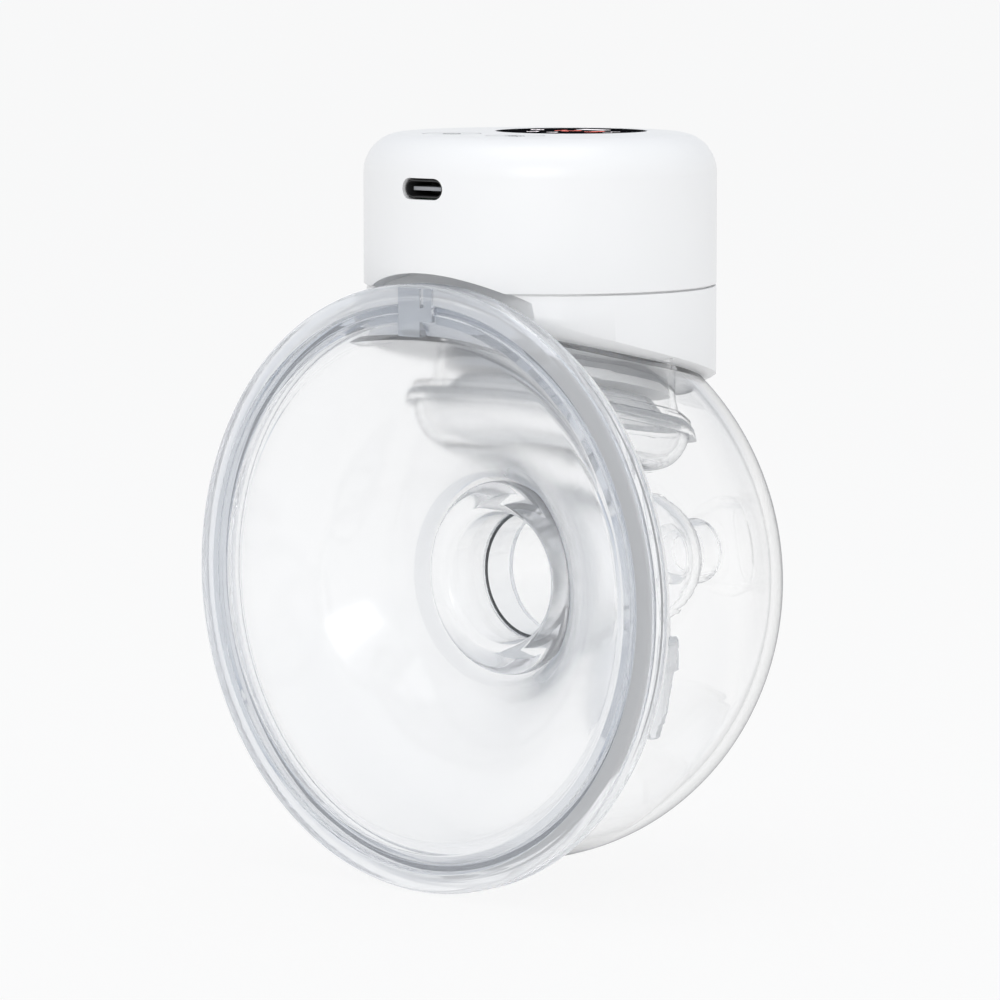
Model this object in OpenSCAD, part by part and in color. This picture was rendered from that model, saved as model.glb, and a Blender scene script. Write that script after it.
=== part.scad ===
// Wearable breast pump: a soft shield on a clear milk collector, with a connector, a valve and a
// diaphragm inside it, and a round motor unit on top.
// Origin: centre of the tunnel's mouth. +Z is up, -Y faces the wearer, and X = 0 is the symmetry plane.

/* [Breast shield] */
// Bore of the tunnel in the shield
tunnel_d = 24; // [22:0.5:24]
// Outside diameter of the shield's rim
rim_d = 109; // [108:0.5:110]
// Distance from the rim's front face to the tunnel's mouth
shield_depth = 23.3; // [22.8:0.1:23.8]
// Thickness of the funnel's silicone wall
shield_wall = 1.7; // [1.2:0.1:2]
// Length of the bore in front of the connector
bore_length = 8.4; // [7:0.1:9]

/* [Milk collector] */
// Outside diameter of the bowl
bowl_d = 102.8; // [102:0.2:103.4]
// Wall thickness of the bowl
bowl_wall = 2; // [1.6:0.1:2.4]
// Farthest point of the bowl behind the tunnel's mouth
bowl_back = 57; // [56.6:0.1:60]

/* [Motor unit] */
// Diameter of the round motor unit
motor_d = 64; // [63:0.5:65]
// Distance of the motor unit's axis behind the tunnel's mouth
motor_y = 10; // [10:0.1:10.5]
// Height of the parting line above the tunnel's axis
parting_z = 53; // [52.8:0.1:53.6]
// Height of the upper housing
upper_h = 27.4; // [27:0.1:29]
// Radius of the rounded top edge
top_round = 7.1; // [6:0.1:7.1]
// Wall thickness of both housings
housing_wall = 2.2; // [1.8:0.1:2.4]
// Slant of the motor unit's underside, lower at the back
slant = 13; // [12:0.5:14]
// Depth of the underside's centre below the parting line
underside_drop = 13.1; // [12.8:0.1:13.4]

/* [Controls] */
// Diameter of the display window
window_d = 27.5; // [24:0.5:28]
// Diameter of each button
button_d = 10.5; // [8:0.5:11]
// Distance of each button from the symmetry plane
button_x = 7.6; // [7:0.1:8]
// Travel of each button
button_travel = 0.6; // [0.4:0.1:0.7]

/* [Hidden] */
$fn = 96;

eps = 0.01;
big = 200;

// Shield
tunnel_r = tunnel_d / 2;
rim_r = rim_d / 2;
rim_y = -shield_depth;
rim_hoop_w = 4.5;
rim_web = 2.5;
lip_slot_r = [49, 52.6];
sleeve_r = 14.8;
sleeve_end = 16.5;
sleeve_bore_r = 13.05;
funnel_steps = 14;
// Control points of the funnel's curve, as [radius, y]
funnel = [[46.4, rim_y + 1.6], [33, rim_y + 2.2], [23.8, rim_y + 13.2], [19.3, 0.6]];
// Blocks of the alignment tab, as [x, width, z, height]
tab_blocks = [[-4.1, 5.2, 45.2, 8.7], [-2, 6, 47.9, 2.5], [2, 2, 50.3, 3.6]];
tab_t = 2.3;
tab_proud = 0.3;

// Collector
bowl_r = bowl_d / 2;
bowl_belly_y = 2.86;
bowl_belly_len = 44.35;
belly_end = 37.3;
nose_pull = 20;
nose_flat = 14;
lip_y = rim_y + rim_web + 0.2;
lip_r = 52.3;
flange_y = [rim_y + rim_hoop_w + 0.3, rim_y + rim_hoop_w + 1.8];
flange_r = 53.5;
front_wall_y = -14.9;

// Frame of the slanted underside
underside_z = parting_z - underside_drop;
cup_v = 5.9;
collar_r = [20.6, 22];
collar_bottom = -8.7;
foot_r = 25.4;
foot_h = 1.2;
plate_t = 2;

// Connector
link_r = [11.4, 13];
link_front = bore_length + 0.1;
dome_y = 35;
nub_r = 6.2;
nub_end = 53.8;
cup_r = [23, 24.6];
cup_flange_r = 26.4;
cup_top = -9.9;
cup_bottom = -18.1;
cup_round = 7.5;
neck_y = 24;
neck_r = [3, 6];
stub_y = 33.5;
stub_r = [6.8, 8.2];
stub_bottom = -19;

// Diaphragm and valve
flange_t = 0.95;
dome_rise = 3.6;
membrane_t = 0.8;
valve_r = 9.8;
valve_top = -14.8;
valve_collar_h = 5.4;
valve_tip = -33;

// Motor unit
motor_r = motor_d / 2;
inner_r = motor_r - housing_wall;
top_z = parting_z + upper_h;
edge_bevel = 0.25;
floor_t = 2.4;
boss_r = 20.2;
boss_drop = 4.4;
boss_wall = 1.8;
bottom_round = 4;
scoop_r = 42.2;
scoop_z = parting_z + 3.4 - scoop_r;
scoop_y = -14.6;
scoop_wall = 2;
notch_angles = [-48.4, -1.9, 181.9, 228.4];
notch_w = 1.4;
notch_depth = 1.2;
notch_rise = 1;
window_y = motor_y + 8.6;
window_t = 1.2;
window_ledge_r = 12;
button_y = motor_y - 15.4;
usb_z = parting_z + 18.3;
usb_slot = [9.5, 3.8];
usb_shell = [8.9, 3.2];
usb_depth = 7.4;
usb_front_y = motor_y - motor_r + 0.8;
board_z = usb_z - usb_shell[1] / 2 - 1.6;
board_t = 1.6;
board_r = 28.6;
board_posts = [[-19, 22], [19, 22], [-18, -3], [18, -3]];
post_r = 2.4;
screw_angles = [-22, 30, 150, 202];
screw_ring_r = 27.4;
screw_boss_r = 2.7;
boss_gap = 0.3;
screw_r = 0.9;
screw_head_r = 1.8;
screw_top_z = parting_z + 7;
pump_y = 22;
pump_z = 56;
can_r = 9.5;
can_x = [-19, 3];
head_x = [3.2, 17.6];
head_half = 9;
shaft_r = 1;
running_gap = 0.06;
battery_size = [38, 11, 17];
battery_y = -4;
battery_bottom = 49.3;
coil_size = [11, 7, 9.6];
coil_center = [-9, 6.6, 51];
plunger_r = 1.4;
hose_r = [1, 1.8];
hose_y = 16.9;
hose_z = 43;
hose_x = 24.5;
hose_top_z = 60;
manifold_h = 8.2;
hose_bend = 4;
barb_l = 2.7;

// Point at t on a cubic curve with four control points
function bezier(p, t) = pow(1 - t, 3) * p[0] + 3 * t * pow(1 - t, 2) * p[1]
    + 3 * t * t * (1 - t) * p[2] + pow(t, 3) * p[3];
function bezier_slope(p, t) = 3 * pow(1 - t, 2) * (p[1] - p[0])
    + 6 * t * (1 - t) * (p[2] - p[1]) + 3 * t * t * (p[3] - p[2]);
// The same point moved by d along the curve's left-hand normal
function bezier_offset(p, t, d) = let (s = bezier_slope(p, t))
    bezier(p, t) + d * [s[1], -s[0]] / norm(s);
function curve(p, n, d = 0) = [for (i = [0:n]) bezier_offset(p, i / n, d)];
function reversed(list) = [for (i = [len(list) - 1:-1:0]) list[i]];
// Arc of a profile: centre, radius, start and end angle
function arc(c, r, a0, a1, n = 6) = [for (i = [0:n]) let (a = a0 + (a1 - a0) * i / n)
    c + r * [cos(a), sin(a)]];

// Turns a [radius, y] profile about the tunnel's axis
module about_tunnel() { rotate([-90, 0, 0]) rotate_extrude() children(); }
// Tube or rod along Y
module rod_y(r, y0, y1) { translate([0, y0, 0]) rotate([-90, 0, 0]) cylinder(r = r, h = y1 - y0); }
// Tube or rod along X
module rod_x(r, x0, x1) { translate([x0, 0, 0]) rotate([0, 90, 0]) cylinder(r = r, h = x1 - x0); }
// Places children in the frame of the slanted underside
module on_slant() { translate([0, motor_y, underside_z]) rotate([-slant, 0, 0]) children(); }
// Places children on the cup's axis in that frame
module on_cup() { on_slant() translate([0, cup_v, 0]) children(); }
module on_motor() { translate([0, motor_y, 0]) children(); }
module ring(r_in, r_out, h) {
    difference() {
        cylinder(r = r_out, h = h);
        translate([0, 0, -1]) cylinder(r = r_in, h = h + 2);
    }
}
// Flat-sided slot with round ends, its width along X, its height along Z and its length along Y
module obround(w, h, length) {
    rotate([-90, 0, 0]) linear_extrude(length) union() {
        square([w - h, h], center = true);
        for (s = [-1, 1]) translate([s * (w - h) / 2, 0]) circle(d = h);
    }
}

// ---- Breast shield ----

module breast_shield() {
    front = curve(funnel, funnel_steps);
    back = curve(funnel, funnel_steps, shield_wall);
    hoop_back = rim_y + rim_hoop_w;
    web_back = rim_y + rim_web;
    profile = concat(
        [[rim_r - 0.4, hoop_back], [rim_r, hoop_back - 0.5]],
        arc([rim_r - 1, rim_y + 1], 1, 0, -90),
        [[51, rim_y], [50.6, rim_y + 1.1], [49.5, rim_y + 1.1], [49.2, rim_y + 0.5],
            [47.6, rim_y + 0.5]],
        front,
        arc([16.2, 0.6], 1.5, 0, -90),
        arc([tunnel_r + 1.6, 0], 1.6, -90, -180),
        [[tunnel_r, bore_length], [sleeve_bore_r, bore_length], [sleeve_bore_r, sleeve_end],
            [sleeve_r, sleeve_end], [sleeve_r, 5]],
        [for (p = reversed(back)) if (p[0] > sleeve_r + 3 && p[0] < 47) p],
        [[lip_slot_r[0], web_back + 0.8], [lip_slot_r[0], web_back], [lip_slot_r[1], web_back],
            [lip_slot_r[1], hoop_back]]);
    color([0.86, 0.89, 0.93, 0.5]) union() {
        about_tunnel() polygon(profile);
        // Alignment tab across the top of the rim
        for (b = tab_blocks) translate([b[0], rim_y - tab_proud, b[2]]) cube([b[1], tab_t, b[3]]);
    }
}

// ---- Milk collector ----

// Solid of revolution of the bowl, its wall moved in by the given amount
module bowl_solid(inset, front_y) {
    r = bowl_r - inset;
    len_y = bowl_belly_len - inset;
    tip = bowl_back - inset;
    end = [r * cos(belly_end), bowl_belly_y + len_y * sin(belly_end)];
    lead = [-r * sin(belly_end), len_y * cos(belly_end)];
    nose = [end, end + (nose_pull - inset / 2) * lead / norm(lead), [nose_flat, tip], [0, tip]];
    belly = [for (i = [0:9]) let (a = belly_end * i / 9)
        [r * cos(a), bowl_belly_y + len_y * sin(a)]];
    nose_curve = curve(nose, 10);
    about_tunnel() polygon(concat([[0, front_y], [r, front_y]], belly,
        [for (i = [1:10]) nose_curve[i]]));
}

// Space below the motor unit's underside, plus the space in front of its front wall
module below_motor(inset) {
    union() {
        on_slant() translate([-big / 2, -big / 2, -big]) cube([big, big, big - inset]);
        translate([-big / 2, front_wall_y - inset - big, -big / 2]) cube(big);
    }
}

module milk_collector() {
    color([0.9, 0.92, 0.95, 0.35]) difference() {
        union() {
            difference() {
                intersection() {
                    bowl_solid(0, lip_y);
                    below_motor(0);
                }
                intersection() {
                    bowl_solid(bowl_wall, lip_y - 1);
                    below_motor(plate_t);
                }
            }
            // Collar round the opening, with a foot that holds the diaphragm down on the cup
            on_cup() translate([0, 0, collar_bottom]) cylinder(r = collar_r[1], h = -collar_bottom - 0.3);
            on_cup() translate([0, 0, collar_bottom]) cylinder(r = foot_r, h = foot_h);
            // Front lip that the shield's rim grips, and the flange behind it
            difference() {
                union() {
                    rod_y(lip_r, lip_y, lip_y + 2);
                    rod_y(flange_r, flange_y[0], flange_y[1]);
                }
                rod_y(bowl_r - bowl_wall / 2, lip_y - 1, flange_y[1] + 1);
            }
        }
        on_cup() translate([0, 0, -30]) cylinder(r = collar_r[0], h = 60);
    }
}

// ---- Connector, diaphragm and valve ----

module cup_outer() {
    rotate_extrude() polygon(concat([[0, cup_bottom], [cup_r[1] - cup_round, cup_bottom]],
        arc([cup_r[1] - cup_round, cup_bottom + cup_round], cup_round, -90, 0),
        [[cup_r[1], cup_top - 1.2], [cup_flange_r, cup_top - 1.2], [cup_flange_r, cup_top],
            [0, cup_top]]));
}

module cup_inner() {
    round_in = cup_round - 1.6;
    floor_z = cup_bottom + 1.6;
    rotate_extrude() polygon(concat([[0, floor_z], [cup_r[0] - round_in, floor_z]],
        arc([cup_r[0] - round_in, floor_z + round_in], round_in, -90, 0),
        [[cup_r[0], cup_top + 1], [0, cup_top + 1]]));
}

module connector() {
    color([0.9, 0.92, 0.95, 0.35]) difference() {
        union() {
            rod_y(link_r[1], link_front, dome_y);
            translate([0, dome_y, 0]) sphere(r = link_r[1]);
            rod_y(nub_r, dome_y + 8, nub_end);
            on_cup() cup_outer();
            translate([0, neck_y, 0]) cylinder(r = neck_r[1], h = 19.5);
            translate([0, stub_y, stub_bottom]) cylinder(r = stub_r[1], h = 14);
        }
        rod_y(link_r[0], link_front - 1, dome_y);
        translate([0, dome_y, 0]) sphere(r = link_r[0]);
        rod_y(nub_r - 1.4, dome_y + link_r[1] + 1.5, nub_end + 1);
        on_cup() cup_inner();
        translate([0, neck_y, 0]) cylinder(r = neck_r[0], h = 25);
        translate([0, stub_y, stub_bottom - 1]) cylinder(r = stub_r[0], h = 15);
    }
}

module diaphragm() {
    base = cup_top + 0.05;
    top = base + flange_t + dome_rise - membrane_t;
    color([0.93, 0.94, 0.96, 0.7]) on_cup() rotate_extrude() polygon([
        [0, top], [16.4, top], [19.2, base + flange_t - membrane_t], [19.2, base],
        [cup_flange_r - 0.2, base], [cup_flange_r - 0.2, base + flange_t],
        [20, base + flange_t], [17, top + membrane_t], [0, top + membrane_t]]);
}

// Round wedge of the valve's bill: a cylinder between two planes that meet at the lips
module bill(r, half_lip, top, tip) {
    intersection() {
        translate([0, 0, tip]) cylinder(r1 = r * 0.8, r2 = r, h = top - tip);
        rotate([90, 0, 90]) translate([0, 0, -r]) linear_extrude(2 * r)
            polygon([[-half_lip, tip], [half_lip, tip], [r, top], [-r, top]]);
    }
}

module duckbill_valve() {
    collar_z = valve_top - valve_collar_h;
    bill_r = 9;
    color([0.93, 0.94, 0.96, 0.7]) translate([0, stub_y, 0]) difference() {
        union() {
            translate([0, 0, collar_z]) cylinder(r = valve_r, h = valve_collar_h);
            bill(bill_r, 1, collar_z, valve_tip);
        }
        translate([0, 0, stub_bottom - 0.2]) cylinder(r = stub_r[1] + 0.05, h = 10);
        bill(bill_r - 1.2, 0.15, collar_z + 1, valve_tip - 0.1);
        translate([0, 0, collar_z + 0.9]) cylinder(r = bill_r - 1.3, h = 1);
    }
}

// ---- Motor unit: housings ----

// Arched recess at the lower front that clears the shield's rim
module scoop(grow) {
    translate([0, -big + scoop_y + grow, scoop_z]) rotate([-90, 0, 0]) cylinder(r = scoop_r + grow, h = big);
    translate([-scoop_r - grow, -big + scoop_y + grow, scoop_z - big])
        cube([2 * (scoop_r + grow), big, big]);
}

module upper_housing() {
    inner_round = top_round - housing_wall;
    color([0.93, 0.94, 0.95]) difference() {
        union() {
            difference() {
                on_motor() rotate_extrude() polygon(concat([[0, parting_z],
                    [motor_r - edge_bevel, parting_z], [motor_r, parting_z + edge_bevel]],
                    arc([motor_r - top_round, top_z - top_round], top_round, 0, 90, 10),
                    [[0, top_z]]));
                difference() {
                    on_motor() rotate_extrude() polygon(concat([[0, parting_z - 1],
                        [inner_r, parting_z - 1]],
                        arc([inner_r - inner_round, top_z - housing_wall - inner_round],
                            inner_round, 0, 90, 8),
                        [[0, top_z - housing_wall]]));
                    scoop(scoop_wall);
                }
            }
            on_motor() for (a = screw_angles) rotate(a) translate([screw_ring_r, 0, parting_z + boss_gap])
                cylinder(r = screw_boss_r, h = screw_top_z - parting_z + 2);
            for (p = board_posts) translate([p[0], p[1], board_z + board_t])
                cylinder(r = post_r, h = top_z - housing_wall - board_z - board_t + 0.5);
        }
        scoop(0);
        translate([0, window_y, top_z - window_t - 0.05]) cylinder(d = window_d + 0.2, h = 5);
        translate([0, window_y, top_z - 10]) cylinder(r = window_ledge_r, h = 10);
        for (s = [-1, 1]) translate([s * button_x, button_y, top_z - 5]) cylinder(d = button_d + 0.4, h = 10);
        translate([0, motor_y - motor_r - 1, usb_z]) obround(usb_slot[0], usb_slot[1], 6);
        on_motor() for (a = screw_angles) rotate(a) translate([screw_ring_r, 0, parting_z - 1])
            cylinder(r = screw_r - 0.1, h = screw_top_z - parting_z + 1);
        for (p = board_posts) translate([p[0], p[1], board_z]) cylinder(r = 0.8, h = 6);
    }
}

// Outline of the lower housing: an upright cylinder cut by the slanted, rounded underside
module lower_outer() {
    wide = motor_r + 1;
    intersection() {
        on_motor() rotate_extrude() polygon([[0, 0], [motor_r, 0], [motor_r, parting_z - edge_bevel],
            [motor_r - edge_bevel, parting_z], [0, parting_z]]);
        on_slant() rotate_extrude() polygon(concat(
            arc([wide - bottom_round, bottom_round], bottom_round, -90, 0), [[wide, 60], [0, 60], [0, 0]]));
    }
}

module lower_housing() {
    color([0.93, 0.94, 0.95]) difference() {
        union() {
            difference() {
                lower_outer();
                difference() {
                    intersection() {
                        on_motor() cylinder(r = inner_r, h = big);
                        on_slant() translate([0, 0, floor_t]) cylinder(r = big, h = big);
                    }
                    scoop(scoop_wall);
                    on_motor() for (a = screw_angles) rotate(a) translate([screw_ring_r, 0, 0])
                        cylinder(r = screw_boss_r, h = parting_z);
                }
            }
            // Round boss that fits into the collector's collar
            on_cup() translate([0, 0, -boss_drop]) cylinder(r = boss_r, h = boss_drop + 1);
        }
        scoop(0);
        on_cup() translate([0, 0, -boss_drop + boss_wall]) cylinder(r = boss_r - boss_wall, h = 6);
        on_cup() translate([0, 0, -boss_drop - 1]) cylinder(r = 1, h = 5);
        // Groove for the seal ring
        on_cup() translate([0, 0, -3]) ring(boss_r - 1, boss_r + 1, 1.6);
        // Seats of the housing screws
        on_motor() for (a = screw_angles) rotate(a) translate([screw_ring_r, 0, 0]) {
            cylinder(r = screw_r + 0.15, h = parting_z + 1);
            cylinder(r = screw_head_r + 0.2, h = screw_seat_z(a));
        }
        // Small locating notches along the lower edge
        on_motor() for (a = notch_angles) rotate(a)
            translate([motor_r - notch_depth, -notch_w / 2, notch_z(a)])
                cube([notch_depth + 2, notch_w, 2 * notch_rise]);
    }
}

// Height of the underside at an angle round the motor unit's axis
function underside_at(r, a) = underside_z - tan(slant) * r * sin(a);
function screw_seat_z(a) = underside_at(screw_ring_r, a) + 3.2;
function notch_z(a) = underside_at(motor_r, a) - notch_rise;

module seal_ring() {
    color([0.55, 0.57, 0.6]) on_cup() translate([0, 0, -2.95]) ring(boss_r - 0.95, collar_r[0] - 0.05, 1.5);
}

module housing_screws() {
    color([0.7, 0.71, 0.73]) on_motor() for (a = screw_angles) rotate(a)
        translate([screw_ring_r, 0, screw_seat_z(a) - 1.4]) {
            cylinder(r = screw_head_r, h = 1.4);
            cylinder(r = screw_r - 0.1, h = screw_top_z - screw_seat_z(a));
        }
}

// ---- Motor unit: controls and electronics ----

module display_window() {
    color([0.03, 0.03, 0.035]) translate([0, window_y, top_z - window_t]) cylinder(d = window_d, h = window_t);
}

module display_module() {
    base = board_z + board_t;
    color([0.16, 0.16, 0.18]) translate([-8.5, window_y - 6, base]) cube([17, 12, top_z - window_t - 0.4 - base]);
}

module button(side) {
    color([0.9, 0.91, 0.92]) translate([side * button_x, button_y, 0]) union() {
        translate([0, 0, top_z - 2.8]) cylinder(d = button_d, h = 2.75);
        translate([0, 0, top_z - 3.9]) cylinder(d = button_d + 1.6, h = 1.2);
        translate([0, 0, board_z + board_t + 3.4]) cylinder(r = 1.8, h = top_z - 3 - board_z - board_t - 3.4);
    }
}
module power_button() { button(-1); }
module mode_button() { button(1); }

module button_switches() {
    switch_h = 3.4 - button_travel - 0.1;
    color([0.2, 0.2, 0.22]) for (s = [-1, 1]) translate([s * button_x, button_y, board_z + board_t]) union() {
        translate([-2.6, -2.6, 0]) cube([5.2, 5.2, switch_h - 0.6]);
        cylinder(r = 1.5, h = switch_h);
    }
}

module circuit_board() {
    color([0.1, 0.35, 0.2]) difference() {
        translate([0, motor_y, board_z]) cylinder(r = board_r, h = board_t);
        for (p = board_posts) translate([p[0], p[1], board_z - 1]) cylinder(r = 1.1, h = board_t + 2);
    }
}

module board_chips() {
    color([0.12, 0.12, 0.13]) union() {
        translate([-6, 18, board_z - 1]) cube([7, 7, 1]);
        translate([10, 2, board_z - 0.9]) cube([5, 4, 0.9]);
        translate([-16, 8, board_z - 0.9]) cube([4, 5, 0.9]);
        translate([8, 12, board_z - 1.5]) cube([5, 5, 1.5]);
        translate([-20, 10, board_z + board_t]) cube([6, 4, 3]);
    }
}

module board_screws() {
    color([0.7, 0.71, 0.73]) for (p = board_posts) translate([p[0], p[1], board_z - 1.1]) {
        cylinder(r = 1.8, h = 1.1);
        cylinder(r = 0.8, h = board_t + 5);
    }
}

module usb_c_socket() {
    color([0.72, 0.73, 0.75]) translate([0, usb_front_y, usb_z]) difference() {
        obround(usb_shell[0], usb_shell[1], usb_depth);
        translate([0, -1, 0]) obround(usb_shell[0] - 0.6, usb_shell[1] - 0.6, usb_depth);
    }
}

module usb_c_tongue() {
    color([0.1, 0.1, 0.11]) translate([-3.3, usb_front_y + 0.9, usb_z - 0.35]) cube([6.6, usb_depth - 1.9, 0.7]);
}

module battery() {
    color([0.75, 0.77, 0.8]) translate([-battery_size[0] / 2, battery_y - battery_size[1] / 2, battery_bottom])
        cube(battery_size);
}

module battery_pad() {
    inset = 1;
    color([0.25, 0.25, 0.27]) intersection() {
        translate([-battery_size[0] / 2 + inset, battery_y - battery_size[1] / 2 + inset, 30])
            cube([battery_size[0] - 2 * inset, battery_size[1] - 2 * inset, battery_bottom - 30]);
        on_slant() translate([0, 0, floor_t]) cylinder(r = big, h = 40);
    }
}

// ---- Motor unit: pump, release valve and air path ----

module on_pump() { translate([0, pump_y, pump_z]) children(); }

module pump_cradle() {
    rib_t = 3;
    color([0.3, 0.31, 0.33]) difference() {
        intersection() {
            union() for (x = [-17, -9]) translate([x, pump_y - 8, 30]) cube([rib_t, 16, pump_z - 36]);
            on_slant() translate([0, 0, floor_t]) cylinder(r = big, h = 40);
        }
        on_pump() rod_x(can_r + 0.8, can_x[0] - 1, can_x[1]);
        on_cup() translate([0, 0, -10]) cylinder(r = 7, h = 20);
    }
}

module motor_can() {
    color([0.72, 0.73, 0.75]) on_pump() difference() {
        rod_x(can_r, can_x[0] + 2, can_x[1]);
        rod_x(can_r - 0.8, can_x[0] + 1, can_x[1] - 1.2);
        rod_x(shaft_r + running_gap, can_x[1] - 3, can_x[1] + 1);
    }
}

module motor_end_cap() {
    color([0.15, 0.15, 0.16]) on_pump() difference() {
        rod_x(can_r, can_x[0], can_x[0] + 2);
        rod_x(shaft_r + running_gap, can_x[0] + 0.8, can_x[0] + 3);
    }
}

module motor_rotor() {
    color([0.7, 0.45, 0.25]) on_pump() union() {
        rod_x(7.6, can_x[0] + 4, can_x[1] - 2.2);
        rod_x(shaft_r, can_x[0] + 1, can_x[1] + 6.8);
    }
}

module pump_eccentric() {
    color([0.85, 0.85, 0.83]) on_pump() difference() {
        union() {
            rod_x(2.6, can_x[1] + 2, can_x[1] + 6.6);
            translate([0, 0, 1.4]) rod_x(3.6, can_x[1] + 6.6, can_x[1] + 9.4);
        }
        rod_x(shaft_r, can_x[1] + 1, can_x[1] + 6.8);
    }
}

module rounded_block(x0, x1, half, r) {
    translate([x0, 0, 0]) rotate([0, 90, 0]) linear_extrude(x1 - x0) union() {
        square([2 * half, 2 * (half - r)], center = true);
        square([2 * (half - r), 2 * half], center = true);
        for (i = [-1, 1], j = [-1, 1]) translate([i * (half - r), j * (half - r)]) circle(r = r);
    }
}

module pump_head() {
    color([0.2, 0.21, 0.23]) on_pump() difference() {
        rounded_block(head_x[0], head_x[1] - 3, head_half, 2);
        rod_x(6.4, head_x[0] + 1, head_x[1]);
        rod_x(2, head_x[0] - 1, head_x[0] + 2);
    }
}

module pump_head_cover() {
    color([0.85, 0.85, 0.83]) on_pump() difference() {
        union() {
            rounded_block(head_x[1] - 3, head_x[1], head_half, 2);
            // Outlet barb
            translate([0, hose_y - pump_y, hose_top_z - pump_z]) rod_x(1, head_x[1] - eps, head_x[1] + barb_l);
        }
        translate([0, hose_y - pump_y, hose_top_z - pump_z]) rod_x(0.5, head_x[1] - 2, head_x[1] + 5);
    }
}

module pump_dampers() {
    color([0.1, 0.1, 0.11]) on_pump() for (x = [-17, -9]) translate([x, 0, 0]) difference() {
        rod_x(can_r + 0.8, 0, 3);
        rod_x(can_r, -1, 4);
    }
}

module on_coil() { translate(coil_center) children(); }

module valve_coil() {
    color([0.75, 0.4, 0.2]) on_coil() difference() {
        rod_x(3, -4.2, 4.2);
        rod_x(plunger_r + running_gap, -3, 5);
    }
}

module valve_frame() {
    half = coil_size / 2;
    color([0.72, 0.73, 0.75]) on_coil() difference() {
        translate(-half) cube(coil_size);
        translate([-half[0] + 1.2, -half[1] - 1, -half[2] + 1]) cube([coil_size[0] - 2.4, coil_size[1] + 2, coil_size[2] - 2]);
        rod_x(plunger_r + running_gap, half[0] - 2, half[0] + 1);
    }
}

module valve_plunger() {
    color([0.6, 0.61, 0.63]) on_coil() union() {
        rod_x(plunger_r, -1.2, coil_size[0] / 2 + 3);
        rod_x(2.2, coil_size[0] / 2 + 1.8, coil_size[0] / 2 + 3);
    }
}

module air_manifold() {
    base = -boss_drop + boss_wall;
    color([0.85, 0.85, 0.83]) difference() {
        union() {
            on_cup() translate([0, 0, base]) cylinder(r = 4.2, h = manifold_h);
            on_cup() translate([0, 0, -boss_drop]) cylinder(r = 1, h = 2);
            translate([0, hose_y, hose_z]) rod_x(1, 3, 8);
        }
        on_cup() translate([0, 0, -boss_drop - 1]) cylinder(r = 0.5, h = boss_drop + 6);
        translate([0, hose_y, hose_z]) rod_x(0.5, 0, 9);
    }
}

// Quarter bend of the hose in the XZ plane, from +X to the given turn
module hose_elbow(start) {
    rotate([90, 0, 0]) rotate([0, 0, start]) rotate_extrude(angle = 90) translate([hose_bend, 0]) difference() {
        circle(r = hose_r[1]);
        circle(r = hose_r[0]);
    }
}

module air_tube() {
    color([0.85, 0.87, 0.9, 0.6]) translate([0, hose_y, 0]) union() {
        translate([0, 0, hose_z]) difference() {
            rod_x(hose_r[1], 4.8, hose_x - hose_bend);
            rod_x(hose_r[0], 4, hose_x);
        }
        translate([hose_x - hose_bend, 0, hose_z + hose_bend]) hose_elbow(270);
        translate([hose_x, 0, hose_z + hose_bend])
            ring(hose_r[0], hose_r[1], hose_top_z - hose_z - 2 * hose_bend);
        translate([hose_x - hose_bend, 0, hose_top_z - hose_bend]) hose_elbow(0);
        translate([0, 0, hose_top_z]) difference() {
            rod_x(hose_r[1], head_x[1] + 0.2, hose_x - hose_bend);
            rod_x(hose_r[0], head_x[1], hose_x);
        }
    }
}

breast_shield();
milk_collector();
connector();
diaphragm();
duckbill_valve();
upper_housing();
lower_housing();
display_window();
display_module();
power_button();
mode_button();
button_switches();
circuit_board();
board_chips();
board_screws();
usb_c_socket();
usb_c_tongue();
battery();
battery_pad();
pump_cradle();
motor_can();
motor_end_cap();
motor_rotor();
pump_eccentric();
pump_head();
pump_head_cover();
pump_dampers();
valve_coil();
valve_frame();
valve_plunger();
air_manifold();
air_tube();
seal_ring();
housing_screws();
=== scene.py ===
"""Looks of the wearable breast pump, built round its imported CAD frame.

Lengths are in millimetres, except for the floor's radius and the lamps' places and sizes, in metres.
"""

import math

import bmesh
import bpy
from mathutils import Matrix, Vector


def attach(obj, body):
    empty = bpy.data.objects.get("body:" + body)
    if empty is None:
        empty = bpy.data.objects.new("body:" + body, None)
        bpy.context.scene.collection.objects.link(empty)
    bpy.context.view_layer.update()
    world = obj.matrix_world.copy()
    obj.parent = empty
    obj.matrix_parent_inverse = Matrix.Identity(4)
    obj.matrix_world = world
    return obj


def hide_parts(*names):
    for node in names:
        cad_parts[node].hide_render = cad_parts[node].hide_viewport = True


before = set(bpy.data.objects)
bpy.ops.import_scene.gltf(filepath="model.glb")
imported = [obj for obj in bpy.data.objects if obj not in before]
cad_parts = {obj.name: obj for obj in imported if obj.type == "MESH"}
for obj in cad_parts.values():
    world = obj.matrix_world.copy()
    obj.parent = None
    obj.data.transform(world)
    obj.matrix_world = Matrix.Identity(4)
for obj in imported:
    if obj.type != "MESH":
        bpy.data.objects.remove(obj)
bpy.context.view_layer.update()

MM = 0.001
# Flat sides of a turned shape, for the largest to the smallest ones
FINE = 288
WIDE = 224
ROUND = 160
SMALL = 128
COARSE = 96

# ---- Sizes that part.scad also holds ----

# Breast shield
TUNNEL_R = 12
BORE_LENGTH = 8.4
RIM_Y = -23.3
RIM_R = 54.5
RIM_HOOP = 4.5
RIM_WEB = 2.5
SHIELD_WALL = 1.7
LIP_SLOT_R = (49.0, 52.6)
SLEEVE_R = 14.8
SLEEVE_BORE_R = 13.05
SLEEVE_END = 16.5
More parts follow.
